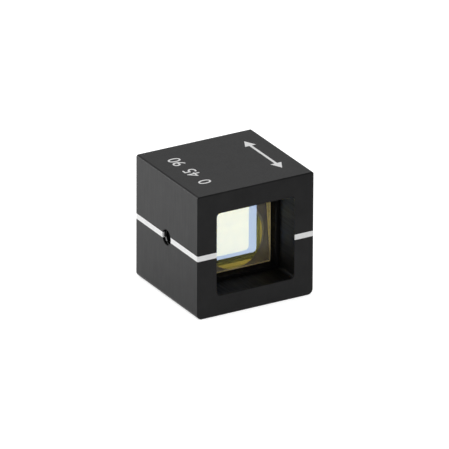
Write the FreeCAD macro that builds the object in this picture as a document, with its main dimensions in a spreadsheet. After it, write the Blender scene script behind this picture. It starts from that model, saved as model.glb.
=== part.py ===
# Polarizing prism in a black cube: two wedges of birefringent crystal face each other across a thin
# air gap, inside a square block that light crosses from its front window to its rear window.
# Millimetres. The light path runs along +Y, +Z is up, and the set screw is in the left (-X) wall.
# The origin is the centre of the block's bottom face.

import FreeCAD
import Part
import Sketcher

import os

from FreeCAD import Placement, Rotation, Vector


# Driving sizes: alias, value and what it is

SIZES = [
    ("block_width", 12.7, "block across the light path"),
    ("block_depth", 11.9, "block along the light path"),
    ("block_height", 12.7, "block from bottom to top"),
    ("upper_radius", 0.22, "rounding of the two upper edges along the light path"),
    ("lower_radius", 0.55, "rounding of the two lower edges along the light path"),
    ("edge_break", 0.1, "chamfer round both end faces"),
    ("window_break", 0.04, "chamfer round the mouths of the windows and the screw hole"),
    ("window_radius", 0.4, "inner corners of the square window in each end face"),
    ("window_depth", 2.95, "window from the end face to its ledge"),
    ("ledge_width", 0.3, "ledge between a window and the bore behind it"),
    ("seat_side", 7.88, "square bore that seats the wedges"),
    ("seat_radius", 0.15, "inner corners of the bore"),
    ("wedge_clearance", 0.04, "between a wedge and each wall of the bore"),
    ("wedge_edge", 0.65, "thickness of a wedge at its thin edge"),
    ("wedge_bevel", 0.3, "ground bevel round a wedge's outer face"),
    ("wedge_corner", 0.1, "ground bevel of a wedge's other edges"),
    ("stack_shift", 0.19, "middle of the wedges behind the middle of the block"),
    ("cut_angle", 23.4, "tilt of the gap from the end faces, in degrees"),
    ("gap_width", 0.3, "air gap, square to its two faces"),
    ("spacer_rim", 0.14, "spacer below its round opening, where it is narrowest"),
    ("opening_drop", 0.4, "middle of the round opening below the light path"),
    ("spacer_clearance", 0.01, "between the spacer and each wedge"),
    ("line_width", 0.55, "index line round the block"),
    ("line_depth", 0.08, "groove that holds the line's paint"),
    ("screw_diameter", 1.52, "set screw over its thread"),
    ("screw_clearance", 0.02, "between the screw and its hole, all round"),
    ("screw_length", 1.59, "set screw without its soft tip"),
    ("screw_bevel", 0.12, "chamfer at both ends of the screw"),
    ("key_size", 0.71, "hexagon socket across its flats"),
    ("key_depth", 0.65, "hexagon socket"),
    ("tip_diameter", 0.9, "soft tip pressed into the screw"),
    ("tip_clearance", 0.01, "between the soft tip and its bore, all round"),
    ("tip_seat", 0.45, "bore in the screw that holds the soft tip"),
    ("tip_reach", 0.25, "soft tip from the screw to the wedges"),
    ("tip_bevel", 0.08, "chamfer of the soft tip's nose"),
]

# Sizes that follow from the driving ones: alias, formula and what it is

DERIVED = [
    ("axis_height", "=block_height / 2", "light path above the bottom face"),
    ("window_side", "=seat_side + 2 * ledge_width", "square window in each end face"),
    ("wedge_side", "=seat_side - 2 * wedge_clearance", "wedge across the light path"),
    ("wedge_slope", "=wedge_side * tan(cut_angle)", "thick edge minus thin edge"),
    ("gap_along", "=gap_width / cos(cut_angle)", "air gap measured along the light path"),
    ("stack_length", "=2 * wedge_edge + wedge_slope + gap_along", "both wedges and the gap"),
    ("spacer_along", "=(gap_width - 2 * spacer_clearance) / cos(cut_angle)", "spacer along the path"),
    ("gap_opening", "=wedge_side - 2 * spacer_rim - 2 * opening_drop", "round opening of the spacer"),
    ("hole_diameter", "=screw_diameter + 2 * screw_clearance", "hole for the set screw"),
]

OVERSHOOT = 1.0  # how far a cutting shape stands out of what it cuts
HEXAGON_SIDES = 6
TOLERANCE = 1e-6

document = FreeCAD.newDocument("PolarizingPrism")


def make_sheet():
    """The spreadsheet: one row for each size, with its alias on the value."""
    sheet = document.addObject("Spreadsheet::Sheet", "Sizes")
    for row, (alias, value, note) in enumerate(SIZES + DERIVED, start=1):
        sheet.set(f"A{row}", alias)
        sheet.set(f"B{row}", str(value))
        sheet.set(f"C{row}", note)
        sheet.setAlias(f"B{row}", alias)
    document.recompute()
    return sheet


sizes = make_sheet()


def bind(item, **formulas):
    """Ties an object's properties to formulas over the sheet; a double underscore stands for a dot."""
    for name, formula in formulas.items():
        item.setExpression(name.replace("__", "."), formula)


# Helpers for bodies and sketches


def new_body(label):
    """An empty body whose Label names the sub-part's file."""
    body = document.addObject("PartDesign::Body", label)
    body.Label = label
    return body


def origin_plane(body, role):
    """One of the body's own three origin planes."""
    return next(plane for plane in body.Origin.OriginFeatures if plane.Role == role)


def new_sketch(body, name, role, offset=None):
    """A sketch on an origin plane, moved along the plane's normal by the formula in offset."""
    sketch = body.newObject("Sketcher::SketchObject", name)
    sketch.AttachmentSupport = [(origin_plane(body, role), "")]
    sketch.MapMode = "FlatFace"
    if offset:
        bind(sketch, AttachmentOffset__Base__z=offset)
    return sketch


def constrain(sketch, name, formula, *constraint):
    """A named distance in a sketch, tied to a formula over the sheet."""
    index = sketch.addConstraint(Sketcher.Constraint(*constraint, 1.0))
    sketch.renameConstraint(index, name)
    bind(sketch, **{f"Constraints__{name}": formula})


def add_lines(sketch, points):
    """A closed chain of lines through the points, joined end to start; returns their indices."""
    corners = [Vector(x, y, 0) for x, y in points]
    ends = corners[1:] + corners[:1]
    lines = [sketch.addGeometry(Part.LineSegment(a, b), False) for a, b in zip(corners, ends)]
    for line, following in zip(lines, lines[1:] + lines[:1]):
        sketch.addConstraint(Sketcher.Constraint("Coincident", line, 2, following, 1))
    return lines


def add_rectangle(sketch, name, width, height):
    """A rectangle round the sketch's origin, with formulas for its width and height."""
    bottom, right, top, left = add_lines(sketch, [(-1, -1), (1, -1), (1, 1), (-1, 1)])
    for line in (bottom, top):
        sketch.addConstraint(Sketcher.Constraint("Horizontal", line))
    for line in (left, right):
        sketch.addConstraint(Sketcher.Constraint("Vertical", line))
    sketch.addConstraint(Sketcher.Constraint("Symmetric", bottom, 1, top, 1, -1, 1))
    constrain(sketch, f"{name}_width", width, "DistanceX", bottom, 1, bottom, 2)
    constrain(sketch, f"{name}_height", height, "DistanceY", right, 1, right, 2)


def add_circle(sketch, name, diameter):
    """A circle round the sketch's origin, with a formula for its diameter."""
    circle = sketch.addGeometry(Part.Circle(Vector(0, 0, 0), Vector(0, 0, 1), 1), False)
    sketch.addConstraint(Sketcher.Constraint("Coincident", circle, 3, -1, 1))
    constrain(sketch, name, diameter, "Diameter", circle)


def add_hexagon(sketch, name, across_flats):
    """A regular hexagon round the sketch's origin, two of its flats level."""
    ring = sketch.addGeometry(Part.Circle(Vector(0, 0, 0), Vector(0, 0, 1), 1), True)
    sketch.addConstraint(Sketcher.Constraint("Coincident", ring, 3, -1, 1))
    turns = [Rotation(Vector(0, 0, 1), 360 * side / HEXAGON_SIDES) for side in range(HEXAGON_SIDES)]
    corners = [turn.multVec(Vector(1, 0, 0)) for turn in turns]
    lines = add_lines(sketch, [(corner.x, corner.y) for corner in corners])
    for line in lines:
        sketch.addConstraint(Sketcher.Constraint("PointOnObject", line, 1, ring))
    for line in lines[1:]:
        sketch.addConstraint(Sketcher.Constraint("Equal", lines[0], line))
    sketch.addConstraint(Sketcher.Constraint("PointOnObject", lines[0], 1, -1))
    radius = f"{across_flats} / (2 * cos(180 / {HEXAGON_SIDES}))"
    constrain(sketch, name, radius, "Radius", ring)


def new_feature(body, kind, name, sketch=None, **formulas):
    """A PartDesign feature, from a sketch if one is given, with its sizes tied to the sheet."""
    feature = body.newObject(f"PartDesign::{kind}", name)
    if sketch:
        feature.Profile = sketch
        sketch.Visibility = False
    bind(feature, **formulas)
    return feature


def dress_edges(body, kind, name, base, wanted, **formulas):
    """A fillet or chamfer on the edges of base that wanted accepts."""
    feature = new_feature(body, kind, name, **formulas)
    names = [f"Edge{i}" for i, edge in enumerate(base.Shape.Edges, start=1) if wanted(edge)]
    feature.Base = (base, names)
    document.recompute()
    return feature


def lies_at(edge, axis, place):
    """True if the whole edge has this coordinate along the axis x, y or z."""
    box = edge.BoundBox
    low, high = getattr(box, f"{axis.upper()}Min"), getattr(box, f"{axis.upper()}Max")
    return abs(low - place) < TOLERANCE and abs(high - place) < TOLERANCE


def runs_along(edge, axis):
    """True if the edge is a straight line along the unit vector axis."""
    if edge.Curve.TypeId != "Part::GeomLine":
        return False
    return abs(abs(edge.tangentAt(edge.FirstParameter).dot(axis)) - 1) < TOLERANCE


def check_removed(before, after):
    """Raises unless the later feature took material off the earlier one."""
    if not after.Shape.Volume < before.Shape.Volume - TOLERANCE:
        raise RuntimeError(f"{after.Name} cuts nothing")


# Housing: the block, its two windows, the seat for the wedges, the screw hole and the line's groove


def make_housing():
    body = new_body("housing")
    bind(body, Placement__Base__z="Sizes.axis_height")

    outline = new_sketch(body, "BlockOutline", "XZ_Plane")
    add_rectangle(outline, "block", "Sizes.block_width", "Sizes.block_height")
    block = new_feature(body, "Pad", "Block", outline, Length="Sizes.block_depth")
    block.Midplane = True
    document.recompute()

    along_path = Vector(0, 1, 0)
    upper = dress_edges(
        body, "Fillet", "UpperEdges", block,
        lambda edge: runs_along(edge, along_path) and edge.BoundBox.Center.z > 0,
        Radius="Sizes.upper_radius",
    )
    half_height = sizes.block_height / 2
    rounded = dress_edges(
        body, "Fillet", "LowerEdges", upper,
        lambda edge: runs_along(edge, along_path) and lies_at(edge, "z", -half_height),
        Radius="Sizes.lower_radius",
    )

    mouth = new_sketch(body, "WindowOutline", "XZ_Plane", "Sizes.block_depth / 2")
    add_rectangle(mouth, "window", "Sizes.window_side", "Sizes.window_side")
    window = new_feature(body, "Pocket", "FrontWindow", mouth, Length="Sizes.window_depth")
    document.recompute()
    check_removed(rounded, window)

    windows = body.newObject("PartDesign::Mirrored", "RearWindow")
    windows.Originals = [window]
    windows.MirrorPlane = (origin_plane(body, "XZ_Plane"), [""])
    body.Tip = windows
    document.recompute()
    check_removed(window, windows)

    half_side = sizes.window_side / 2

    def window_corner(edge):
        place = edge.BoundBox.Center
        beside = abs(abs(place.x) - half_side) < TOLERANCE and abs(abs(place.z) - half_side) < TOLERANCE
        return beside and runs_along(edge, along_path)

    window_corners = dress_edges(
        body, "Fillet", "WindowCorners", windows, window_corner, Radius="Sizes.window_radius"
    )

    seat_outline = new_sketch(body, "SeatOutline", "XZ_Plane")
    add_rectangle(seat_outline, "seat", "Sizes.seat_side", "Sizes.seat_side")
    seat = new_feature(body, "Pocket", "Seat", seat_outline, Length="Sizes.block_depth")
    seat.Midplane = True
    document.recompute()
    check_removed(window_corners, seat)

    half_seat = sizes.seat_side / 2

    def seat_corner(edge):
        place = edge.BoundBox.Center
        beside = abs(abs(place.x) - half_seat) < TOLERANCE and abs(abs(place.z) - half_seat) < TOLERANCE
        return beside and runs_along(edge, along_path)

    seat_corners = dress_edges(
        body, "Fillet", "SeatCorners", seat, seat_corner, Radius="Sizes.seat_radius"
    )

    hole_outline = new_sketch(body, "ScrewHoleOutline", "YZ_Plane", "-Sizes.block_width / 2")
    add_circle(hole_outline, "hole", "Sizes.hole_diameter")
    hole = new_feature(body, "Pocket", "ScrewHole", hole_outline, Length="Sizes.block_width / 2")
    hole.Reversed = True
    document.recompute()
    check_removed(seat_corners, hole)

    half_depth = sizes.block_depth / 2
    half_width = sizes.block_width / 2

    def on_end_face(edge):
        return lies_at(edge, "y", half_depth) or lies_at(edge, "y", -half_depth)

    def on_window_mouth(edge):
        place = edge.BoundBox.Center
        inside = max(abs(place.x), abs(place.z)) < half_side + TOLERANCE
        return on_end_face(edge) and inside

    def lies_outside(edge):
        place = edge.BoundBox.Center
        outside = max(abs(place.x), abs(place.z)) > half_side + 2 * sizes.window_break
        return on_end_face(edge) and outside

    def on_hole_mouth(edge):
        return lies_at(edge, "x", -half_width) and edge.Curve.TypeId == "Part::GeomCircle"

    windows_broken = dress_edges(
        body, "Chamfer", "WindowBreaks", hole,
        lambda edge: on_window_mouth(edge) or on_hole_mouth(edge),
        Size="Sizes.window_break",
    )
    broken = dress_edges(
        body, "Chamfer", "EdgeBreaks", windows_broken, lies_outside, Size="Sizes.edge_break"
    )

    groove_outline = new_sketch(body, "GrooveOutline", "XY_Plane")
    add_rectangle(
        groove_outline, "outer",
        f"Sizes.block_width + 2 * {OVERSHOOT}", f"Sizes.block_depth + 2 * {OVERSHOOT}",
    )
    add_rectangle(
        groove_outline, "inner",
        "Sizes.block_width - 2 * Sizes.line_depth", "Sizes.block_depth - 2 * Sizes.line_depth",
    )
    groove = new_feature(body, "Pocket", "IndexGroove", groove_outline, Length="Sizes.line_width")
    groove.Midplane = True
    document.recompute()
    check_removed(broken, groove)
    return body


# Wedges: the front one is thick at the top, and the rear one is the same piece turned over


def make_wedge(label):
    body = new_body(label)
    bind(body, Placement__Base__y="Sizes.stack_shift", Placement__Base__z="Sizes.axis_height")

    profile = new_sketch(body, "WedgeProfile", "YZ_Plane")
    corners = [(-2, -1), (-1, -1), (1, 1), (-2, 1)]
    bottom, slope, top, face = add_lines(profile, corners)
    for line in (bottom, top):
        profile.addConstraint(Sketcher.Constraint("Horizontal", line))
    profile.addConstraint(Sketcher.Constraint("Symmetric", face, 1, face, 2, -1))
    constrain(profile, "side", "Sizes.wedge_side", "DistanceY", face, 2, face, 1)
    constrain(profile, "outer_face", "Sizes.stack_length / 2", "DistanceX", face, 1, -1, 1)
    constrain(profile, "thin_edge", "Sizes.wedge_edge", "DistanceX", bottom, 1, bottom, 2)
    thick_edge = "Sizes.wedge_edge + Sizes.wedge_slope"
    constrain(profile, "thick_edge", thick_edge, "DistanceX", top, 2, top, 1)

    wedge = new_feature(body, "Pad", "Wedge", profile, Length="Sizes.wedge_side")
    wedge.Midplane = True
    document.recompute()

    outer_face = -sizes.stack_length / 2
    bevelled = dress_edges(
        body, "Chamfer", "FaceBevel", wedge, lambda edge: lies_at(edge, "y", outer_face),
        Size="Sizes.wedge_bevel",
    )
    along_path = Vector(0, 1, 0)

    def on_slope(edge):
        rise = sizes.wedge_slope / sizes.wedge_side
        foot = outer_face + sizes.wedge_edge
        return all(
            abs(end.Y - foot - (end.Z + sizes.wedge_side / 2) * rise) < TOLERANCE for end in edge.Vertexes
        )

    corners = dress_edges(
        body, "Chamfer", "CornerBevels", bevelled,
        lambda edge: on_slope(edge) or runs_along(edge, along_path),
        Size="Sizes.wedge_corner",
    )
    check_removed(wedge, bevelled)
    check_removed(bevelled, corners)
    return body


def make_wedges():
    front = make_wedge("front_prism")
    rear = make_wedge("rear_prism")
    rear.Placement = Placement(rear.Placement.Base, Rotation(Vector(1, 0, 0), 180))
    return [front, rear]


# Spacer: a thin sheet in the tilted gap, with the round opening that light passes


def make_spacer():
    body = new_body("gap_spacer")
    bind(body, Placement__Base__y="Sizes.stack_shift", Placement__Base__z="Sizes.axis_height")

    profile = new_sketch(body, "SpacerProfile", "YZ_Plane")
    bottom, rear, top, front = add_lines(profile, [(-2, -1), (-1, -1), (2, 1), (1, 1)])
    profile.addConstraint(Sketcher.Constraint("Horizontal", bottom))
    profile.addConstraint(Sketcher.Constraint("Symmetric", bottom, 1, top, 1, -1, 1))
    profile.addConstraint(Sketcher.Constraint("Symmetric", bottom, 2, top, 2, -1, 1))
    constrain(profile, "thickness", "Sizes.spacer_along", "DistanceX", bottom, 1, bottom, 2)
    constrain(profile, "half_side", "Sizes.wedge_side / 2", "DistanceY", -1, 1, front, 1)
    lean = "(Sizes.wedge_slope - Sizes.spacer_along) / 2"
    constrain(profile, "lean", lean, "DistanceX", -1, 1, front, 1)

    sheet = new_feature(body, "Pad", "Sheet", profile, Length="Sizes.wedge_side")
    sheet.Midplane = True
    document.recompute()

    outline = new_sketch(body, "OpeningOutline", "XZ_Plane")
    bind(outline, AttachmentOffset__Base__y="-Sizes.opening_drop")
    add_circle(outline, "opening", "Sizes.gap_opening")
    opening = new_feature(body, "Pocket", "Opening", outline, Length="Sizes.stack_length")
    opening.Midplane = True
    document.recompute()
    check_removed(sheet, opening)
    return body


# Index line: paint that fills the groove, in three stretches between the windows and the screw hole


def new_box(name, width, depth, height, x, y):
    """A box at mid-height, with formulas for its sizes and for the place of its low corner."""
    box = document.addObject("Part::Box", name)
    bind(
        box, Length=width, Width=depth, Height=height,
        Placement__Base__x=x, Placement__Base__y=y,
        Placement__Base__z=f"Sizes.axis_height - ({height}) / 2",
    )
    return box


def new_boolean(kind, name, base, tool):
    """A boolean of two objects."""
    result = document.addObject(f"Part::{kind}", name)
    result.Base = base
    result.Tool = tool
    document.recompute()
    return result


def make_line_ring():
    """The whole groove's filling: a frame as deep as the groove, open at the windows and the hole."""
    outer = new_box(
        "LineOuter", "Sizes.block_width", "Sizes.block_depth", "Sizes.line_width",
        "-Sizes.block_width / 2", "-Sizes.block_depth / 2",
    )
    document.recompute()
    broken = document.addObject("Part::Chamfer", "LineCorners")
    broken.Base = outer
    size = sizes.edge_break
    upright = Vector(0, 0, 1)
    numbers = [i for i, edge in enumerate(outer.Shape.Edges, start=1) if runs_along(edge, upright)]
    broken.Edges = [(number, size, size) for number in numbers]
    document.recompute()

    inner = new_box(
        "LineInner",
        "Sizes.block_width - 2 * Sizes.line_depth", "Sizes.block_depth - 2 * Sizes.line_depth",
        "Sizes.line_width",
        "-Sizes.block_width / 2 + Sizes.line_depth", "-Sizes.block_depth / 2 + Sizes.line_depth",
    )
    windows = new_box(
        "LineWindows",
        "Sizes.window_side + 2 * Sizes.window_break", f"Sizes.block_depth + 2 * {OVERSHOOT}",
        "Sizes.line_width",
        "-Sizes.window_side / 2 - Sizes.window_break", f"-Sizes.block_depth / 2 - {OVERSHOOT}",
    )
    hole = document.addObject("Part::Cylinder", "LineHole")
    hole.Placement = Placement(Vector(), Rotation(Vector(0, 1, 0), -90))
    bind(
        hole, Radius="Sizes.hole_diameter / 2 + Sizes.window_break", Height="Sizes.block_width",
        Placement__Base__z="Sizes.axis_height",
    )
    document.recompute()

    frame = new_boolean("Cut", "LineFrame", broken, inner)
    open_frame = new_boolean("Cut", "LineOpenFrame", frame, windows)
    return new_boolean("Cut", "LineRing", open_frame, hole)


def make_index_lines():
    """The three stretches, each one solid of the ring inside its own quarter or half of the block."""
    ring = make_line_ring()
    half_width = "Sizes.block_width / 2"
    half_depth = "Sizes.block_depth / 2"
    quarters = [
        ("index_line_right", "Sizes.block_depth", "0", f"-{half_depth}"),
        ("index_line_front_left", half_depth, f"-{half_width}", f"-{half_depth}"),
        ("index_line_rear_left", half_depth, f"-{half_width}", "0"),
    ]
    lines = []
    for label, depth, x, y in quarters:
        quarter = new_box(f"Zone_{label}", half_width, depth, "Sizes.line_width", x, y)
        document.recompute()
        lines.append(new_boolean("Common", label, ring, quarter))
    return lines


# Set screw and its soft tip, which press the pair of wedges against the far wall of the seat


def make_set_screw():
    """The screw lies along X, with its outer end at the body's origin."""
    body = new_body("set_screw")
    bind(
        body,
        Placement__Base__x="-(Sizes.wedge_side / 2 + Sizes.tip_reach + Sizes.screw_length)",
        Placement__Base__z="Sizes.axis_height",
    )
    outline = new_sketch(body, "ScrewOutline", "YZ_Plane")
    add_circle(outline, "thread", "Sizes.screw_diameter")
    shank = new_feature(body, "Pad", "Shank", outline, Length="Sizes.screw_length")
    document.recompute()

    length = sizes.screw_length
    ends = dress_edges(
        body, "Chamfer", "ScrewEnds", shank,
        lambda edge: lies_at(edge, "x", 0) or lies_at(edge, "x", length),
        Size="Sizes.screw_bevel",
    )

    hexagon = new_sketch(body, "SocketOutline", "YZ_Plane")
    add_hexagon(hexagon, "socket", "Sizes.key_size")
    socket = new_feature(body, "Pocket", "Socket", hexagon, Length="Sizes.key_depth")
    socket.Reversed = True
    document.recompute()
    check_removed(ends, socket)

    circle = new_sketch(body, "TipSeatOutline", "YZ_Plane", "Sizes.screw_length")
    add_circle(circle, "seat", "Sizes.tip_diameter + 2 * Sizes.tip_clearance")
    seat = new_feature(body, "Pocket", "TipSeat", circle, Length="Sizes.tip_seat")
    document.recompute()
    check_removed(socket, seat)
    return body


def make_screw_tip():
    """The tip lies along X, with its nose on the wedges' left faces at the body's origin."""
    body = new_body("screw_tip")
    bind(body, Placement__Base__x="-Sizes.wedge_side / 2", Placement__Base__z="Sizes.axis_height")
    outline = new_sketch(body, "TipOutline", "YZ_Plane")
    add_circle(outline, "tip", "Sizes.tip_diameter")
    tip = new_feature(body, "Pad", "Tip", outline, Length="Sizes.tip_reach + Sizes.tip_seat")
    tip.Reversed = True
    document.recompute()
    dress_edges(
        body, "Chamfer", "Nose", tip, lambda edge: lies_at(edge, "x", 0), Size="Sizes.tip_bevel"
    )
    return body


def check_objects():
    """Raises on an object that failed without an error of its own."""
    for item in document.Objects:
        if "Invalid" in item.State or "Error" in item.State:
            raise RuntimeError(f"{item.Name} failed: {item.State}")


def write_parts(parts):
    """Checks each sub-part's shape and writes it to a file of its own."""
    for part in parts:
        if part.Shape.isNull() or not part.Shape.isValid() or len(part.Shape.Solids) != 1:
            raise RuntimeError(f"{part.Label} is not one valid solid")
    os.makedirs("parts", exist_ok=True)
    for part in parts:
        part.Shape.exportStep(f"parts/{part.Label}.step")
        box = part.Shape.BoundBox
        print(
            f"{part.Label}: {part.Shape.Volume:.3f} mm3,"
            f" x {box.XMin:.3f} to {box.XMax:.3f},"
            f" y {box.YMin:.3f} to {box.YMax:.3f},"
            f" z {box.ZMin:.3f} to {box.ZMax:.3f}"
        )


parts = [make_housing(), *make_wedges(), make_spacer()]
parts += make_index_lines()
parts += [make_set_screw(), make_screw_tip()]
document.recompute()
check_objects()
write_parts(parts)
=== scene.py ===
# Finishes of a polarizing prism: two crystal wedges behind coated faces, in a black anodised cube.
# Metres. The light path runs along +Y, +Z is up, and the origin is the centre of the bottom face.

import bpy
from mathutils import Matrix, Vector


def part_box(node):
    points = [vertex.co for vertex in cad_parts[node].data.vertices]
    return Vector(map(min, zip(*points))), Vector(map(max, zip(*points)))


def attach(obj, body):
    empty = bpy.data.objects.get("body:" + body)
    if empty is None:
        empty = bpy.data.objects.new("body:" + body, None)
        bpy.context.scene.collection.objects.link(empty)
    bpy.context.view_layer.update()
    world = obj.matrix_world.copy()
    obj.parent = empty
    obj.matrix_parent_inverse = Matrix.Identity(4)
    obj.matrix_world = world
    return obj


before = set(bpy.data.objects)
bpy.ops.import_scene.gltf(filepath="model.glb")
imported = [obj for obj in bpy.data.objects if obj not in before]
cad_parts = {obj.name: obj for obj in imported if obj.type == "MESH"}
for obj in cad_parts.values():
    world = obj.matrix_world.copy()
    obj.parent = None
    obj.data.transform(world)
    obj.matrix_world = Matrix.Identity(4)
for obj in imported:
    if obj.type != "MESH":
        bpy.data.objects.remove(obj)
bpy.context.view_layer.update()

import math

import bmesh
import bpy
from bpy.props import FloatProperty, FloatVectorProperty, PointerProperty
from mathutils import Matrix, Vector

bl_info = {
    "name": "Polarizing Prism Finishes",
    "version": (1, 0, 0),
    "blender": (4, 5, 0),
    "location": "View3D > Sidebar > Prism",
    "description": "Finishes, coatings, marks and stage for a cube with a polarizing prism",
    "category": "Object",
}

MM = 0.001
UM = 0.000001
BLACK = (0.0, 0.0, 0.0, 1.0)
WHITE = (1.0, 1.0, 1.0, 1.0)
BODY = "root"

HOUSING_LOW, HOUSING_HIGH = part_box("housing")
CENTRE = (HOUSING_LOW + HOUSING_HIGH) / 2
HALF = (HOUSING_HIGH - HOUSING_LOW) / 2
PRISM_LOW, PRISM_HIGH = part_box("front_prism")
REAR_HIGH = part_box("rear_prism")[1]
SCREW_LOW, SCREW_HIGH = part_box("set_screw")
SCREW_Y = (SCREW_LOW.y + SCREW_HIGH.y) / 2
SCREW_Z = (SCREW_LOW.z + SCREW_HIGH.z) / 2
HOLE_CLEARANCE = 0.02 * MM  # between the screw and its hole, all round
HOLE_RADIUS = (SCREW_HIGH.z - SCREW_LOW.z) / 2 + HOLE_CLEARANCE


# Sizes and colours that a user may change


def colour(name, description, default):
    """A colour property with a swatch."""
    return FloatVectorProperty(
        name=name, description=description, subtype="COLOR", size=3, min=0.0, max=1.0, default=default
    )


def length(name, description, default_mm):
    """A length property, given in millimetres and kept in metres."""
    return FloatProperty(
        name=name, description=description, unit="LENGTH", min=0.0, default=default_mm * MM, precision=5
    )


def share(name, description, default, largest=1.0):
    """A plain number from nought up."""
    return FloatProperty(name=name, description=description, min=0.0, max=largest, default=default)


class PrismHousingLook(bpy.types.PropertyGroup):
    """Black anodised aluminium."""

    dye: colour("Dye", "Colour of the dyed oxide layer", (0.003, 0.003, 0.0033))
    pale: colour("Pale dye", "Colour where the dye took less", (0.0075, 0.0075, 0.008))
    seat: colour("Seat", "Colour of the crystals' seat", (0.001, 0.001, 0.001))
    recess: colour("Recess", "Colour inside the windows", (0.0025, 0.0022, 0.0016))
    index: share("Refractive index", "Index of the sealed layer, which sets its gloss", 1.28, 3.0)
    roughness: share("Roughness", "Roughness of the blasted faces", 0.40)
    recess_roughness: share("Recess roughness", "Roughness inside the windows", 0.54)
    seat_roughness: share("Seat roughness", "Roughness of the crystals' seat", 0.8)
    cloud: length("Cloud size", "Size of the dye's clouds", 1.6)
    grain: length("Grain size", "Size of the blasting grain", 0.05)
    grain_height: length("Grain height", "Height of the blasting grain", 0.0015)
    streak_length: length("Streak length", "Length of the cutter's streaks in the windows", 3.0)
    streak_width: length("Streak width", "Width of the cutter's streaks in the windows", 0.16)
    streak_depth: share("Streak strength", "How much the streaks change the roughness", 0.6, 3.0)
    brushing: share("Brushing", "Strength of the outer faces' streaks against the windows'", 0.3)
    window_side: length("Window side", "Side of the square windows", 8.48)
    seat_depth: length("Seat depth", "Depth of the windows to the crystals' seat", 2.95)


class PrismCrystalLook(bpy.types.PropertyGroup):
    """Polished crystal with a coating on its outer faces."""

    body: colour("Crystal", "Tint that light takes at each polished face", (0.865, 0.846, 0.52))
    index: share("Refractive index", "Index for the ordinary ray", 2.62, 4.0)
    ground: share("Ground roughness", "Roughness of the sides and bevels", 0.5)
    ground_index: share("Ground index", "Refractive index of the sides' and bevels' gloss", 1.3, 3.0)
    bevel_glow: share("Bevel glow", "Share of outside light that the ground bevels let in", 0.5)
    bevel_leak: share("Bevel leak", "Share of inside light that the ground bevels let out", 0.2)
    # The frost colours are tinted tan as painted light, standing in for the yellow light inside the
    # crystal; the bevel colour is painted darker, as painted shade, for the bevels seen from outside.
    frost: colour("Frost", "Colour of the ground sides from inside", (0.94, 0.83, 0.45))
    frost_pale: colour("Pale frost", "Their palest parts", (1.0, 0.92, 0.58))
    glow: colour("Glow", "Colour of light that comes in through the bevels", (1.0, 0.88, 0.48))
    bevel_shaded_colour: colour("Bevel colour", "Colour of the ground bevels from outside", (0.62, 0.52, 0.32))
    frost_cloud: length("Frost cloud", "Size of the clouds on the ground sides", 0.6)
    frost_grain: length("Frost grain", "Size of the grain on the ground sides", 0.03)
    bevel: length("Bevel", "Bevel round each polished face", 0.3)
    mirror: colour("Coating reflection", "Colour that the coating throws back", (0.36, 0.47, 0.69))
    through: colour("Coating transmission", "Colour that the coating lets pass", (0.69, 0.635, 0.42))
    lift: length("Coating lift", "Distance of the coating from the crystal", 0.004)
    coating: length("Coating thickness", "Thickness of the coating", 0.003)


class PrismMarkSizes(bpy.types.PropertyGroup):
    """Printed marks on the top face."""

    figure_height: length("Figure height", "Height of the printed figures", 1.35)
    stroke: length("Stroke", "Width of the arrow's line", 0.27)
    left_row: length("Left row", "Distance of the row of figures from the middle", 3.8)
    right_row: length("Right row", "Distance of the arrow from the middle", 4.2)
    arrow_length: length("Arrow length", "Length of the arrow for the light's plane", 7.2)
    arrow_head: length("Arrow head", "Length and width of each head", 1.2)
    thickness: length("Ink thickness", "Height of the ink over the face", 0.006)
    ink: colour("Ink", "Colour of the ink", (0.76, 0.76, 0.76))


class PrismThreadSizes(bpy.types.PropertyGroup):
    """Thread and spilt enamel in the mouth of the set screw's hole."""

    pitch: length("Pitch", "Distance between the turns", 0.3175)
    height: length("Height", "Height of the ridge over the wall", 0.11)
    mouth: length("Mouth", "Distance from the face to the first turn", 0.06)
    lead: FloatProperty(
        name="Lead", description="Where the first turn starts", subtype="ANGLE", default=math.radians(170)
    )
    cut: colour("Cut thread", "Colour of the thread", (0.004, 0.004, 0.004))
    # A bright metal patch low in the hole, placed to shine as a painted glint.
    glinting: colour("Worn thread", "Colour of the worn place low in the hole", (0.5, 0.5, 0.5))
    roughness: share("Roughness", "Roughness of the thread", 0.2)
    index: share("Refractive index", "Index of the sealed layer on the thread", 1.28, 3.0)
    run_depth: length("Enamel run", "How far the enamel ran into the hole", 0.13)
    run_width: length("Enamel run's width", "Its width across the hole's wall", 0.56)


class PrismSmallFinishes(bpy.types.PropertyGroup):
    """Colours of the small pieces, each with its paler places."""

    # The spacer is blackened metal; its colours are painted much lighter and purple, as painted light and
    # painted purple reflections.
    sheet: colour("Sheet", "Colour of the spacer", (0.15, 0.145, 0.25))
    sheet_pale: colour("Pale sheet", "The spacer's paler places", (0.225, 0.21, 0.34))
    enamel: colour("Enamel", "Colour of the index line", (0.80, 0.80, 0.80))
    enamel_pale: colour("Pale enamel", "The index line's paler places", (0.88, 0.88, 0.88))
    steel: colour("Steel", "Colour of the set screw", (0.02, 0.02, 0.022))
    steel_pale: colour("Pale steel", "The set screw's paler places", (0.05, 0.05, 0.052))
    nylon: colour("Nylon", "Colour of the set screw's soft tip", (0.7, 0.68, 0.6))
    nylon_pale: colour("Pale nylon", "The soft tip's paler places", (0.8, 0.78, 0.72))


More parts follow.
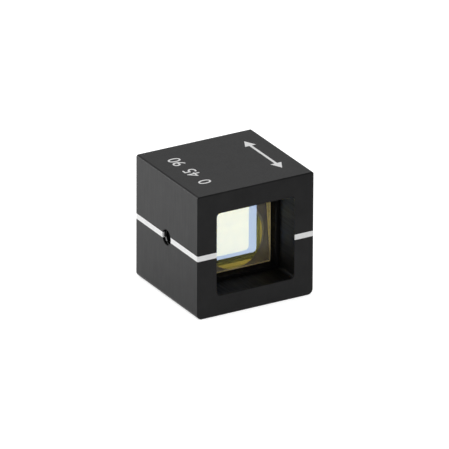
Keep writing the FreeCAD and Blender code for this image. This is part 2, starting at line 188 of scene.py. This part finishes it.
class PrismStageSettings(bpy.types.PropertyGroup):
    """Camera, lamps and floor."""

    azimuth: FloatProperty(name="Azimuth", description="Camera's turn round the part", default=-29.94)
    elevation: FloatProperty(name="Elevation", description="Camera's height angle", default=23.80)
    roll: FloatProperty(name="Roll", description="Camera's tilt in its own plane", default=0.2635)
    distance: length("Distance", "Camera to the part's centre", 953.9)
    lens: FloatProperty(name="Lens", description="Focal length on a 36 mm sensor", default=803.7)
    aim_right: FloatProperty(
        name="Aim right", description="Aim point beside the centre", default=-0.008 * MM
    )
    aim_up: FloatProperty(name="Aim up", description="Aim point above the centre", default=-0.024 * MM)
    surround: share("Surround", "Strength of the even light all round", 0.8)
    sky_in_gloss: share("Surround in gloss", "Strength of the surround that gloss shows", 0.8)
    front_share: share("Front share", "Strength that gloss shows in front of the part", 0.4)
    behind_share: share("Behind share", "Strength that gloss shows on the floor behind it", 1.55, 2.0)
    paper: colour("Paper", "Colour of the floor", (0.85, 0.85, 0.85))
    floor_lift: share("Floor lift", "White added where the floor is seen", 0.62)


# Shader nodes


CLOUD_DETAIL = 6.0
CLOUD_ROUGHNESS = 0.6
CLOUD_LOW = 0.3  # noise at or below this is no cloud
CLOUD_HIGH = 0.7  # noise at or above this is full cloud
GRAIN_DETAIL = 3.0
GRAIN_ROUGHNESS = 0.55
STREAK_DETAIL = 3.0
STREAK_ROUGHNESS = 0.6
NOISE_MIDDLE = 0.5
ROUGHNESS_SPREAD = 0.1  # how far the grain moves the roughness
FINE_BUMP = UM


def new_material(name):
    """A material with an empty tree and its output node."""
    material = bpy.data.materials.new(name)
    material.use_nodes = True
    material.node_tree.nodes.clear()
    material.node_tree.nodes.new("ShaderNodeOutputMaterial").name = "Output"
    return material


def show(tree, shader):
    """Joins a shader's socket to the material's output."""
    tree.links.new(shader, tree.nodes["Output"].inputs["Surface"])


def add_node(tree, kind, values=None, **settings):
    """A node with its settings, and with values or links for its inputs."""
    node = tree.nodes.new(kind)
    for name, value in settings.items():
        setattr(node, name, value)
    for key, value in (values or {}).items():
        feed(tree, node.inputs[key], value)
    return node


def feed(tree, socket, value):
    """Links a socket to another, or sets its value."""
    if isinstance(value, bpy.types.NodeSocket):
        tree.links.new(value, socket)
    else:
        socket.default_value = value


def math_node(tree, operation, *values):
    """The result of one sum on up to three values or sockets."""
    node = add_node(tree, "ShaderNodeMath", dict(enumerate(values)), operation=operation)
    return node.outputs[0]


def mix_colours(tree, factor, first, second):
    """A colour between two others."""
    node = add_node(tree, "ShaderNodeMix", data_type="RGBA")
    given = {"Factor_Float": factor, "A_Color": first, "B_Color": second}
    for socket in node.inputs:
        if socket.identifier in given:
            feed(tree, socket, given[socket.identifier])
    return next(socket for socket in node.outputs if socket.identifier == "Result_Color")


def mix_values(tree, factor, first, second):
    """A value between two others."""
    change = math_node(tree, "SUBTRACT", second, first)
    return math_node(tree, "MULTIPLY_ADD", factor, change, first)


def stretch(tree, value, low, high, new_low=0.0, new_high=1.0):
    """A value moved from one range to another, and kept inside the new one."""
    node = add_node(
        tree, "ShaderNodeMapRange",
        {"Value": value, "From Min": low, "From Max": high, "To Min": new_low, "To Max": new_high},
    )
    return node.outputs["Result"]


def rgba(rgb):
    """A colour with full alpha."""
    return (*rgb, 1.0)


def principled(material, values):
    """The material's own shader, joined to its output."""
    shader = add_node(material.node_tree, "ShaderNodeBsdfPrincipled", values)
    show(material.node_tree, shader.outputs[0])
    return shader


def position(tree):
    """Place on the part, in metres."""
    return add_node(tree, "ShaderNodeTexCoord").outputs["Object"]


def parts_of(tree, vector):
    """The three parts of a vector."""
    return add_node(tree, "ShaderNodeSeparateXYZ", {"Vector": vector}).outputs


def new_group(name, inputs, outputs):
    """An empty node group with named sockets, given as name and kind."""
    group = bpy.data.node_groups.new(name, "ShaderNodeTree")
    for socket, kind in inputs:
        group.interface.new_socket(socket, in_out="INPUT", socket_type=f"NodeSocket{kind}")
    for socket, kind in outputs:
        group.interface.new_socket(socket, in_out="OUTPUT", socket_type=f"NodeSocket{kind}")
    start = group.nodes.new("NodeGroupInput")
    end = group.nodes.new("NodeGroupOutput")
    return group, start, end


def noise(tree, vector, size, detail, roughness):
    """Noise with features of about one size."""
    scale = math_node(tree, "DIVIDE", 1.0, size)
    node = add_node(
        tree, "ShaderNodeTexNoise",
        {"Vector": vector, "Scale": scale, "Detail": detail, "Roughness": roughness},
    )
    return node.outputs["Fac"]


def fine_grain_group():
    """Fine grain over a surface: a mask of its clouds, its roughness and a bumped normal."""
    name = "Fine grain"
    if name in bpy.data.node_groups:
        return bpy.data.node_groups[name]
    group, start, end = new_group(
        name,
        [("Cloud size", "Float"), ("Grain size", "Float"), ("Roughness", "Float"),
         ("Roughness spread", "Float"), ("Bump height", "Float")],
        [("Clouds", "Float"), ("Roughness", "Float"), ("Normal", "Vector")],
    )
    place = position(group)
    clouds = noise(group, place, start.outputs["Cloud size"], CLOUD_DETAIL, CLOUD_ROUGHNESS)
    grain = noise(group, place, start.outputs["Grain size"], GRAIN_DETAIL, GRAIN_ROUGHNESS)
    mask = stretch(group, clouds, CLOUD_LOW, CLOUD_HIGH)
    spread = math_node(group, "SUBTRACT", grain, NOISE_MIDDLE)
    rough = math_node(
        group, "MULTIPLY_ADD", spread, start.outputs["Roughness spread"], start.outputs["Roughness"]
    )
    bump = add_node(
        group, "ShaderNodeBump",
        {"Height": grain, "Distance": start.outputs["Bump height"], "Strength": 1.0},
    )
    group.links.new(mask, end.inputs["Clouds"])
    group.links.new(rough, end.inputs["Roughness"])
    group.links.new(bump.outputs["Normal"], end.inputs["Normal"])
    return group


def place_group(tree, group, *values):
    """A group node with its inputs in order, each a value or a link."""
    node = tree.nodes.new("ShaderNodeGroup")
    node.node_tree = group
    for socket, value in zip(node.inputs, values):
        feed(tree, socket, value)
    return node


# Materials


SIDE_MARGIN = 0.02 * MM  # the windows' mask reaches past their walls
MOUTH_MARGIN = 0.05 * MM  # and starts behind their broken edges
SEAT_MARGIN = 0.01 * MM  # the seat's mask takes in the ledge
POLISHED = 0.8  # a polished face looks more than this along the light path
BEVELLED = 0.4  # and a bevel more than this
# A band low in the screw's hole whose bright metal gives a painted glint.
GLINT_TOP = 0.2 * MM  # where the painted glint starts, down from the screw's axis
GLINT_FULL_TOP = 0.4 * MM  # where the painted glint is full
GLINT_FULL_LOW = 0.45 * MM  # where it starts to fade
GLINT_LOW = 0.6 * MM  # where it ends


def inside_windows(tree, look):
    """Two masks, one over the windows and the seat, and one over the seat alone."""
    across, along, up = parts_of(tree, position(tree))
    across = math_node(tree, "ABSOLUTE", across)
    along = math_node(tree, "ABSOLUTE", along)
    up = math_node(tree, "ABSOLUTE", math_node(tree, "SUBTRACT", up, CENTRE.z))
    out = math_node(tree, "MAXIMUM", across, up)
    within = math_node(tree, "LESS_THAN", out, look.window_side / 2 + SIDE_MARGIN)
    behind_mouth = math_node(tree, "LESS_THAN", along, HALF.y - MOUTH_MARGIN)
    behind_seat = math_node(tree, "LESS_THAN", along, HALF.y - look.seat_depth + SEAT_MARGIN)
    inside = math_node(tree, "MULTIPLY", within, behind_mouth)
    return inside, math_node(tree, "MULTIPLY", within, behind_seat)


def streaks_along(tree, look, axis):
    """Streaks that a tool left along one axis, as a value round nought."""
    squeeze = [1.0, 1.0, 1.0]
    squeeze[axis] = look.streak_width / look.streak_length
    place = add_node(tree, "ShaderNodeMapping", {"Vector": position(tree), "Scale": squeeze})
    streaks = noise(
        tree, place.outputs["Vector"], look.streak_width, STREAK_DETAIL, STREAK_ROUGHNESS
    )
    return math_node(tree, "SUBTRACT", streaks, NOISE_MIDDLE)


def anodised_material(look):
    """Black anodised aluminium: cloudy dye on blasted faces, and darker windows with cutter streaks."""
    material = new_material("Anodised aluminium")
    tree = material.node_tree
    inside, seat = inside_windows(tree, look)
    cut = streaks_along(tree, look, 1)
    brushed = streaks_along(tree, look, 2)
    base = mix_values(tree, inside, look.roughness, look.recess_roughness)
    base = mix_values(tree, seat, base, look.seat_roughness)
    streaks = mix_values(tree, inside, math_node(tree, "MULTIPLY", brushed, look.brushing), cut)
    base = math_node(tree, "MULTIPLY_ADD", streaks, -look.streak_depth, base)
    grain = place_group(
        tree, fine_grain_group(), look.cloud, look.grain, base, ROUGHNESS_SPREAD, look.grain_height
    )
    dyed = mix_colours(tree, grain.outputs["Clouds"], rgba(look.dye), rgba(look.pale))
    dyed = mix_colours(tree, inside, dyed, rgba(look.recess))
    dyed = mix_colours(tree, seat, dyed, rgba(look.seat))
    principled(material, {
        "Base Color": dyed,
        "Roughness": grain.outputs["Roughness"],
        "Normal": grain.outputs["Normal"],
        "IOR": look.index,
    })
    return material


def crystal_material(look):
    """Clear crystal, polished on the faces that light crosses and ground on its sides, whose colour holds
    painted light: a tan tint from inside and painted shade from outside.
    """
    material = new_material("Crystal")
    tree = material.node_tree
    geometry = add_node(tree, "ShaderNodeNewGeometry")
    along = math_node(tree, "ABSOLUTE", parts_of(tree, geometry.outputs["True Normal"])[1])
    polished = math_node(tree, "GREATER_THAN", along, POLISHED)
    clear = principled(material, {
        "Base Color": rgba(look.body),
        "Roughness": 0.0,
        "IOR": look.index,
        "Specular Tint": BLACK,
        "Transmission Weight": 1.0,
    })
    texture = place_group(
        tree, fine_grain_group(), look.frost_cloud, look.frost_grain, look.ground, ROUGHNESS_SPREAD,
        FINE_BUMP,
    )
    # Painted light: the ground faces take a tan tint from inside, and a darker colour from outside as
    # painted shade.
    within = mix_colours(tree, texture.outputs["Clouds"], rgba(look.frost), rgba(look.frost_pale))
    frosted = add_node(tree, "ShaderNodeBsdfPrincipled", {
        "Base Color": mix_colours(
            tree, geometry.outputs["Backfacing"], rgba(look.bevel_shaded_colour), within
        ),
        "Roughness": texture.outputs["Roughness"],
        "Normal": texture.outputs["Normal"],
        "IOR": look.ground_index,
    })
    bevel = math_node(tree, "GREATER_THAN", along, BEVELLED)
    crossing = mix_values(tree, geometry.outputs["Backfacing"], look.bevel_leak, look.bevel_glow)
    bevel = math_node(tree, "MULTIPLY", bevel, crossing)
    let_through = mix_colours(tree, bevel, BLACK, rgba(look.glow))
    glow = add_node(tree, "ShaderNodeBsdfTranslucent", {"Color": let_through})
    ground = add_node(tree, "ShaderNodeAddShader", {0: frosted.outputs[0], 1: glow.outputs[0]})
    soft = let_soft_light_through(tree, clear.outputs[0])
    surface = add_node(tree, "ShaderNodeMixShader", {0: polished, 1: ground.outputs[0], 2: soft})
    show(tree, surface.outputs[0])
    return material


def let_soft_light_through(tree, shader, also=0.0):
    """Lets light for matt surfaces, and what the mask also picks, cross a polished face unbent."""
    path = add_node(tree, "ShaderNodeLightPath")
    soft = math_node(tree, "MAXIMUM", path.outputs["Is Diffuse Ray"], path.outputs["Is Shadow Ray"])
    soft = math_node(tree, "MAXIMUM", soft, also)
    clear = add_node(tree, "ShaderNodeBsdfTransparent", {"Color": WHITE})
    mixed = add_node(tree, "ShaderNodeMixShader", {0: soft, 1: shader, 2: clear.outputs[0]})
    return mixed.outputs[0]


def coating_material(look):
    """The coating on an outer face: where light enters it, it throws back blue and lets yellow pass."""
    material = new_material("Coating")
    tree = material.node_tree
    leaving = add_node(tree, "ShaderNodeNewGeometry").outputs["Backfacing"]
    through = add_node(tree, "ShaderNodeBsdfTransparent", {"Color": rgba(look.through)})
    mirror = add_node(tree, "ShaderNodeBsdfGlossy", {"Color": rgba(look.mirror), "Roughness": 0.0})
    both = add_node(tree, "ShaderNodeAddShader", {0: through.outputs[0], 1: mirror.outputs[0]})
    show(tree, let_soft_light_through(tree, both.outputs[0], leaving))
    return material


def plain_material(name, first, second, roughness, cloud, grain, **values):
    """A cloudy, fine-grained surface between two colours."""
    material = new_material(name)
    tree = material.node_tree
    texture = place_group(
        tree, fine_grain_group(), cloud, grain, roughness, ROUGHNESS_SPREAD, FINE_BUMP
    )
    shader_values = {
        "Base Color": mix_colours(tree, texture.outputs["Clouds"], rgba(first), rgba(second)),
        "Roughness": texture.outputs["Roughness"],
        "Normal": texture.outputs["Normal"],
    }
    shader_values.update(values)
    principled(material, shader_values)
    return material


def thread_material(look):
    """Cut thread, dark but for a bright metal patch low in the hole, placed to shine as a painted glint.
    """
    material = new_material("Cut thread")
    tree = material.node_tree
    cloud, grain = 0.3 * MM, 0.02 * MM
    texture = place_group(
        tree, fine_grain_group(), cloud, grain, look.roughness, ROUGHNESS_SPREAD, FINE_BUMP
    )
    # Painted glint: a band of bright metal below the screw's axis.
    up = parts_of(tree, position(tree))[2]
    below_top = stretch(tree, up, SCREW_Z - GLINT_TOP, SCREW_Z - GLINT_FULL_TOP)
    above_low = stretch(tree, up, SCREW_Z - GLINT_LOW, SCREW_Z - GLINT_FULL_LOW)
    glinting = math_node(tree, "MINIMUM", below_top, above_low)
    principled(material, {
        "Base Color": mix_colours(tree, glinting, rgba(look.cut), rgba(look.glinting)),
        "Metallic": glinting,
        "Roughness": texture.outputs["Roughness"],
        "Normal": texture.outputs["Normal"],
        "IOR": look.index,
    })
    return material


def dress(item, material):
    """Puts one material on the whole of an object."""
    item.data.materials.clear()
    item.data.materials.append(material)


def dress_node(node, material):
    """Puts a material in a CAD node's own slots."""
    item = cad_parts[node]
    if not item.material_slots:
        item.data.materials.append(material)
    for slot in item.material_slots:
        slot.link = "OBJECT"
        slot.material = material


def new_object(name, data):
    """An object in the scene."""
    item = bpy.data.objects.new(name, data)
    bpy.context.scene.collection.objects.link(item)
    return item


def new_piece(name, mesh, material):
    """A piece that rides on the part's body."""
    piece = new_object(name, mesh)
    dress(piece, material)
    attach(piece, BODY)


# Meshes of the small pieces


DOUBLE_REACH = 0.5 * UM  # corners nearer than this are one
FIGURE_SHARE = 0.72  # height of a figure against its font's size
THREAD_STEPS = 48  # steps in one turn
THREAD_FADE = 12  # steps in which an end fades out
THREAD_LEAST = 0.02  # share of the ridge that is left at its ends
THREAD_FOOT = 0.42  # half of the ridge's foot against the pitch
THREAD_CREST = 0.15  # the ridge's crest against its foot
THREAD_SINK = 0.01 * MM  # depth of the ridge's foot in the wall
RUN_START = 0.05 * MM  # the enamel run's start, in from the face
RUN_FLOOR = 2 * UM  # its underside, off the hole's wall
RUN_FACE = 14 * UM  # its face, off the hole's wall
RUN_WAVE = 0.1  # its lower edge's wave against its depth
RUN_WAVE_TURN = 7  # radians of that wave over half the width
RUN_WAVE_START = 1  # radians of that wave in the middle


def finished_mesh(bm, name):
    """A mesh with the shape that was built."""
    mesh = bpy.data.meshes.new(name)
    bm.to_mesh(mesh)
    bm.free()
    return mesh


def prism_from_outline(bm, outline, low, high):
    """A flat solid between two heights, from a closed outline of points."""
    bottom = [bm.verts.new((x, y, low)) for x, y in outline]
    top = [bm.verts.new((x, y, high)) for x, y in outline]
    bm.faces.new(top)
    bm.faces.new(bottom[::-1])
    for i, corner in enumerate(bottom):
        j = (i + 1) % len(bottom)
        bm.faces.new((corner, bottom[j], top[j], top[i]))


def slab_mesh(name, low, high):
    """A closed thin layer between its lowest and highest corners."""
    bm = bmesh.new()
    bmesh.ops.create_cube(bm, size=1.0)
    for corner in bm.verts:
        corner.co = [high[i] if corner.co[i] > 0 else low[i] for i in range(3)]
    return finished_mesh(bm, name)


def arrow_outline(middle_x, span, stroke, head):
    """The outline of an arrow with two heads, along Y."""
    quarter = [
        (stroke / 2, 0.0), (stroke / 2, span / 2 - head), (head / 2, span / 2 - head), (0.0, span / 2)
    ]
    right = quarter[1:]
    outline = [(x, -y) for x, y in right[::-1]] + right
    outline += [(-x, y) for x, y in right[-2::-1]] + [(-x, -y) for x, y in right[:-1]]
    return [(middle_x + x, y) for x, y in outline]


def figures_mesh(text, height, thickness):
    """Solid figures that lie flat, read along X, with their middle at the origin."""
    words = bpy.data.curves.new("figures", "FONT")
    words.body = text
    words.align_x = "CENTER"
    words.align_y = "CENTER"
    words.size = height / FIGURE_SHARE
    words.extrude = thickness / 2
    holder = new_object("figures", words)
    graph = bpy.context.evaluated_depsgraph_get()
    mesh = bpy.data.meshes.new_from_object(holder.evaluated_get(graph))
    bpy.data.objects.remove(holder)
    bpy.data.curves.remove(words)
    return mesh


def clean_mesh(mesh):
    """Joins doubled corners and turns all faces outwards."""
    bm = bmesh.new()
    bm.from_mesh(mesh)
    bmesh.ops.remove_doubles(bm, verts=bm.verts, dist=DOUBLE_REACH)
    bmesh.ops.recalc_face_normals(bm, faces=bm.faces)
    bm.to_mesh(mesh)
    bm.free()


def thread_mesh(sizes):
    """A ridge that winds along the wall of the set screw's hole and fades out at both ends."""
    start = HOUSING_LOW.x + sizes.mouth + sizes.pitch / 2
    turns = (SCREW_LOW.x - sizes.pitch / 2 - start) / sizes.pitch
    count = round(turns * THREAD_STEPS)
    bm = bmesh.new()
    rings = []
    for i in range(count + 1):
        angle = math.tau * i / THREAD_STEPS - sizes.lead
        fade = max(min(1.0, i / THREAD_FADE, (count - i) / THREAD_FADE), THREAD_LEAST)
        foot_radius = HOLE_RADIUS + THREAD_SINK
        crest_radius = HOLE_RADIUS - sizes.height * fade
        x = start + sizes.pitch * i / THREAD_STEPS
        foot = sizes.pitch * THREAD_FOOT * fade
        crest = foot * THREAD_CREST
        profile = [
            (-foot, foot_radius), (-crest, crest_radius), (crest, crest_radius), (foot, foot_radius)
        ]
        rings.append([
            bm.verts.new((
                x + shift, SCREW_Y + radius * math.cos(angle), SCREW_Z + radius * math.sin(angle)
            ))
            for shift, radius in profile
        ])
    for first, second in zip(rings, rings[1:]):
        for i in range(len(first)):
            j = (i + 1) % len(first)
            bm.faces.new((first[i], first[j], second[j], second[i]))
    bm.faces.new(rings[0])
    bm.faces.new(rings[-1][::-1])
    bmesh.ops.recalc_face_normals(bm, faces=bm.faces)
    mesh = finished_mesh(bm, "hole_thread")
    mesh.shade_smooth()
    return mesh


def enamel_run_mesh(sizes):
    """Enamel that ran from the index line over the rim, down the wall of the set screw's hole."""
    start = HOUSING_LOW.x + RUN_START
    across, down = 14, 8
    bm = bmesh.new()
    layers = []
    for radius in (HOLE_RADIUS - RUN_FLOOR, HOLE_RADIUS - RUN_FACE):
        layer = []
        for i in range(across + 1):
            part = 2 * i / across - 1
            angle = part * sizes.run_width / 2 / HOLE_RADIUS
            wave = RUN_WAVE * math.sin(RUN_WAVE_TURN * part + RUN_WAVE_START)
            reach = sizes.run_depth * (1 + wave)
            layer.append([
                bm.verts.new((
                    start + reach * j / down,
                    SCREW_Y + radius * math.cos(angle),
                    SCREW_Z + radius * math.sin(angle),
                ))
                for j in range(down + 1)
            ])
        layers.append(layer)
    outer, inner = layers
    for layer in layers:
        for i in range(across):
            for j in range(down):
                bm.faces.new((layer[i][j], layer[i + 1][j], layer[i + 1][j + 1], layer[i][j + 1]))
    for i in range(across):
        for j in (0, down):
            bm.faces.new((outer[i][j], outer[i + 1][j], inner[i + 1][j], inner[i][j]))
    for j in range(down):
        for i in (0, across):
            bm.faces.new((outer[i][j], outer[i][j + 1], inner[i][j + 1], inner[i][j]))
    bmesh.ops.recalc_face_normals(bm, faces=bm.faces)
    return finished_mesh(bm, "enamel_run")


# Operators, one for each piece or group of like pieces


class PRISM_OT_housing(bpy.types.Operator):
    """Gives the cube its black anodised finish"""

    bl_idname = "prism.housing"
    bl_label = "Finish the Housing"

    def execute(self, context):
        dress_node("housing", anodised_material(context.scene.prism_housing))
        return {"FINISHED"}


class PRISM_OT_crystals(bpy.types.Operator):
    """Makes the wedges clear and lays a coating on each outer face"""

    bl_idname = "prism.crystals"
    bl_label = "Finish the Crystals"

    def execute(self, context):
        look = context.scene.prism_crystal
        crystal = crystal_material(look)
        for node in ("front_prism", "rear_prism"):
            dress_node(node, crystal)
        coating = coating_material(look)
        outward = look.lift + look.coating
        faces = {
            "entrance_coating": (PRISM_LOW.y - outward, PRISM_LOW.y - look.lift),
            "exit_coating": (REAR_HIGH.y + look.lift, REAR_HIGH.y + outward),
        }
        inset = Vector((look.bevel, 0, look.bevel))
        for name, (near, far) in faces.items():
            low, high = PRISM_LOW + inset, PRISM_HIGH - inset
            low.y, high.y = near, far
            new_piece(name, slab_mesh(name, low, high), coating)
        return {"FINISHED"}


class PRISM_OT_spacer(bpy.types.Operator):
    """Finishes the thin sheet in the gap"""

    bl_idname = "prism.spacer"
    bl_label = "Finish the Spacer"

    def execute(self, context):
        look = context.scene.prism_finishes
        # Its lighter, purple colours are painted light and painted reflection on a blackened sheet.
        material = plain_material(
            "Blackened sheet", look.sheet, look.sheet_pale,
            roughness=0.6, cloud=1.5 * MM, grain=0.06 * MM,
        )
        dress_node("gap_spacer", material)
        return {"FINISHED"}


class PRISM_OT_index_line(bpy.types.Operator):
    """Fills the index line with white enamel"""

    bl_idname = "prism.index_line"
    bl_label = "Finish the Index Line"

    def execute(self, context):
        look = context.scene.prism_finishes
        material = plain_material(
            "White enamel", look.enamel, look.enamel_pale,
            roughness=0.7, cloud=0.5 * MM, grain=0.04 * MM,
        )
        new_piece("enamel_run", enamel_run_mesh(context.scene.prism_thread), material)
        for node in ("index_line_right", "index_line_front_left", "index_line_rear_left"):
            dress_node(node, material)
        return {"FINISHED"}


class PRISM_OT_marks(bpy.types.Operator):
    """Prints a row of angle figures and an arrow for the light's plane on the top face"""

    bl_idname = "prism.marks"
    bl_label = "Print the Marks"

    def execute(self, context):
        sizes = context.scene.prism_marks
        ink = plain_material(
            "White ink", sizes.ink, sizes.ink, roughness=0.5, cloud=0.5 * MM, grain=0.04 * MM
        )
        top = HOUSING_HIGH.z
        figures = figures_mesh("0  45  90", sizes.figure_height, sizes.thickness)
        turned = Matrix.Translation((-sizes.left_row, 0, top + sizes.thickness / 2))
        figures.transform(turned @ Matrix.Rotation(math.pi / 2, 4, "Z"))
        clean_mesh(figures)
        new_piece("angle_figures", figures, ink)
        bm = bmesh.new()
        outline = arrow_outline(sizes.right_row, sizes.arrow_length, sizes.stroke, sizes.arrow_head)
        prism_from_outline(bm, outline, top - UM, top + sizes.thickness)
        arrow = finished_mesh(bm, "plane_arrow")
        clean_mesh(arrow)
        new_piece("plane_arrow", arrow, ink)
        return {"FINISHED"}


class PRISM_OT_set_screw(bpy.types.Operator):
    """Finishes the set screw and its soft tip, and cuts the thread in the hole's mouth"""

    bl_idname = "prism.set_screw"
    bl_label = "Finish the Set Screw"

    def execute(self, context):
        look = context.scene.prism_finishes
        steel = plain_material(
            "Blackened steel", look.steel, look.steel_pale,
            roughness=0.35, cloud=0.4 * MM, grain=0.03 * MM, Metallic=0.6,
        )
        dress_node("set_screw", steel)
        nylon = plain_material(
            "Natural nylon", look.nylon, look.nylon_pale,
            roughness=0.5, cloud=0.3 * MM, grain=0.03 * MM,
        )
        dress_node("screw_tip", nylon)
        sizes = context.scene.prism_thread
        new_piece("hole_thread", thread_mesh(sizes), thread_material(sizes))
        return {"FINISHED"}


class PRISM_OT_stage(bpy.types.Operator):
    """Sets up the floor, lamps, surround and camera"""

    bl_idname = "prism.stage"
    bl_label = "Set the Stage"

    def execute(self, context):
        settings = context.scene.prism_stage
        make_floor(settings)
        make_lamps()
        make_world(settings)
        make_camera(settings)
        context.scene.view_settings.view_transform = "Standard"
        return {"FINISHED"}


FLOOR_HALF = 1.5
FLOOR_DROP = 0.5 * UM  # keeps the floor off the block's bottom face
FLOOR_TURN = 0.03  # the floor's gloss goes from front to back within this of the middle
SKY_DARK = -0.6  # forward part of a direction in which gloss shows the surround darkest
SKY_FULL = 0.2  # and the one from which it shows it whole
LAMP_DISTANCE = 0.5
SENSOR_WIDTH = 36
CLIP_NEAR = 0.01
CLIP_FAR = 10


def seen_rays(tree):
    """One for rays from the camera, from a gloss and through glass, nought for the rest."""
    path = add_node(tree, "ShaderNodeLightPath")
    camera_or_gloss = math_node(
        tree, "MAXIMUM", path.outputs["Is Camera Ray"], path.outputs["Is Glossy Ray"]
    )
    return math_node(tree, "MAXIMUM", camera_or_gloss, path.outputs["Is Transmission Ray"])


def make_floor(settings):
    """A wide pale floor that lifts to white where it is seen, and keeps the part's shadow."""
    corners = [(-1, -1), (1, -1), (1, 1), (-1, 1)]
    mesh = bpy.data.meshes.new("floor")
    mesh.from_pydata([(x * FLOOR_HALF, y * FLOOR_HALF, 0) for x, y in corners], [], [range(4)])
    floor = new_object("floor", mesh)
    floor.location.z = -FLOOR_DROP
    material = new_material("Floor")
    tree = material.node_tree
    paper = add_node(tree, "ShaderNodeBsdfDiffuse", {"Color": rgba(settings.paper)})
    forward = parts_of(tree, position(tree))[1]
    behind = stretch(
        tree, forward, -FLOOR_TURN, FLOOR_TURN, settings.front_share, settings.behind_share
    )
    path = add_node(tree, "ShaderNodeLightPath")
    straight = math_node(tree, "SUBTRACT", 1.0, path.outputs["Is Transmission Ray"])
    gloss = math_node(tree, "MULTIPLY", path.outputs["Is Glossy Ray"], straight)
    behind = mix_values(tree, gloss, 1.0, behind)
    lift = math_node(tree, "MULTIPLY", seen_rays(tree), settings.floor_lift)
    lift = math_node(tree, "MULTIPLY", lift, behind)
    glow = add_node(tree, "ShaderNodeEmission", {"Color": WHITE, "Strength": lift})
    both = add_node(tree, "ShaderNodeAddShader", {0: paper.outputs[0], 1: glow.outputs[0]})
    show(tree, both.outputs[0])
    dress(floor, material)


def add_lamp(name, direction, size, power):
    """A square lamp that looks at the part's centre."""
    data = bpy.data.lights.new(name, "AREA")
    data.energy = power
    data.size = size
    lamp = new_object(name, data)
    towards = Vector(direction).normalized()
    lamp.location = CENTRE + towards * LAMP_DISTANCE
    lamp.rotation_mode = "QUATERNION"
    lamp.rotation_quaternion = towards.to_track_quat("Z", "Y")


def make_lamps():
    """A soft key lamp from the left and above, and a low one behind the left side."""
    add_lamp("key_lamp", direction=(-1.0, 0.3, 0.8), size=0.35, power=0.1)
    add_lamp("low_lamp", direction=(-0.62, 0.78, 0.18), size=0.2, power=0.8)


def position_round(tree):
    """Direction in the surround, seen from the part."""
    return add_node(tree, "ShaderNodeTexCoord").outputs["Generated"]


def make_world(settings):
    """A white surround: full where it is seen, less elsewhere, and in gloss darker to the front."""
    world = bpy.data.worlds.new("Surround")
    bpy.context.scene.world = world
    world.use_nodes = True
    tree = world.node_tree
    tree.nodes.clear()
    path = add_node(tree, "ShaderNodeLightPath")
    seen = math_node(
        tree, "MAXIMUM", path.outputs["Is Camera Ray"], path.outputs["Is Transmission Ray"]
    )
    forward = parts_of(tree, position_round(tree))[1]
    behind = stretch(tree, forward, SKY_DARK, SKY_FULL, settings.front_share, 1.0)
    in_gloss = math_node(tree, "MULTIPLY", behind, settings.sky_in_gloss)
    strength = mix_values(tree, path.outputs["Is Glossy Ray"], settings.surround, in_gloss)
    strength = mix_values(tree, seen, strength, 1.0)
    background = add_node(tree, "ShaderNodeBackground", {"Color": WHITE, "Strength": strength})
    output = tree.nodes.new("ShaderNodeOutputWorld")
    tree.links.new(background.outputs[0], output.inputs["Surface"])


def make_camera(settings):
    """The camera, far off behind a long lens."""
    azimuth, elevation = math.radians(settings.azimuth), math.radians(settings.elevation)
    forward = Vector((
        -math.sin(azimuth) * math.cos(elevation), math.cos(azimuth) * math.cos(elevation),
        -math.sin(elevation),
    ))
    right = Vector((math.cos(azimuth), math.sin(azimuth), 0))
    up = right.cross(forward)
    aim = CENTRE + right * settings.aim_right + up * settings.aim_up
    level = Matrix((right, up, -forward)).transposed()
    data = bpy.data.cameras.new("camera")
    data.lens = settings.lens
    data.sensor_width = SENSOR_WIDTH
    data.clip_start = CLIP_NEAR
    data.clip_end = CLIP_FAR
    camera = new_object("camera", data)
    turn = Matrix.Rotation(math.radians(settings.roll), 3, "Z")
    camera.matrix_world = Matrix.Translation(aim - forward * settings.distance) @ (level @ turn).to_4x4()
    bpy.context.scene.camera = camera


class PRISM_PT_panel(bpy.types.Panel):
    """The steps, in order"""

    bl_idname = "PRISM_PT_panel"
    bl_label = "Polarizing Prism"
    bl_space_type = "VIEW_3D"
    bl_region_type = "UI"
    bl_category = "Prism"

    def draw(self, context):
        for step in STEPS:
            self.layout.operator(step.bl_idname)


STEPS = (
    PRISM_OT_housing,
    PRISM_OT_crystals,
    PRISM_OT_spacer,
    PRISM_OT_index_line,
    PRISM_OT_marks,
    PRISM_OT_set_screw,
    PRISM_OT_stage,
)
SETTINGS = {
    "prism_housing": PrismHousingLook,
    "prism_crystal": PrismCrystalLook,
    "prism_marks": PrismMarkSizes,
    "prism_thread": PrismThreadSizes,
    "prism_finishes": PrismSmallFinishes,
    "prism_stage": PrismStageSettings,
}


def register():
    """Adds the settings, the steps and the panel."""
    for name, group in SETTINGS.items():
        bpy.utils.register_class(group)
        setattr(bpy.types.Scene, name, PointerProperty(type=group))
    for step in STEPS:
        bpy.utils.register_class(step)
    bpy.utils.register_class(PRISM_PT_panel)


def unregister():
    """Takes them out again, the last one first."""
    bpy.utils.unregister_class(PRISM_PT_panel)
    for step in reversed(STEPS):
        bpy.utils.unregister_class(step)
    for name, group in reversed(SETTINGS.items()):
        delattr(bpy.types.Scene, name)
        bpy.utils.unregister_class(group)


def main():
    """Runs every step."""
    register()
    for step in STEPS:
        group, name = step.bl_idname.split(".")
        getattr(getattr(bpy.ops, group), name)()


if __name__ == "__main__":
    main()
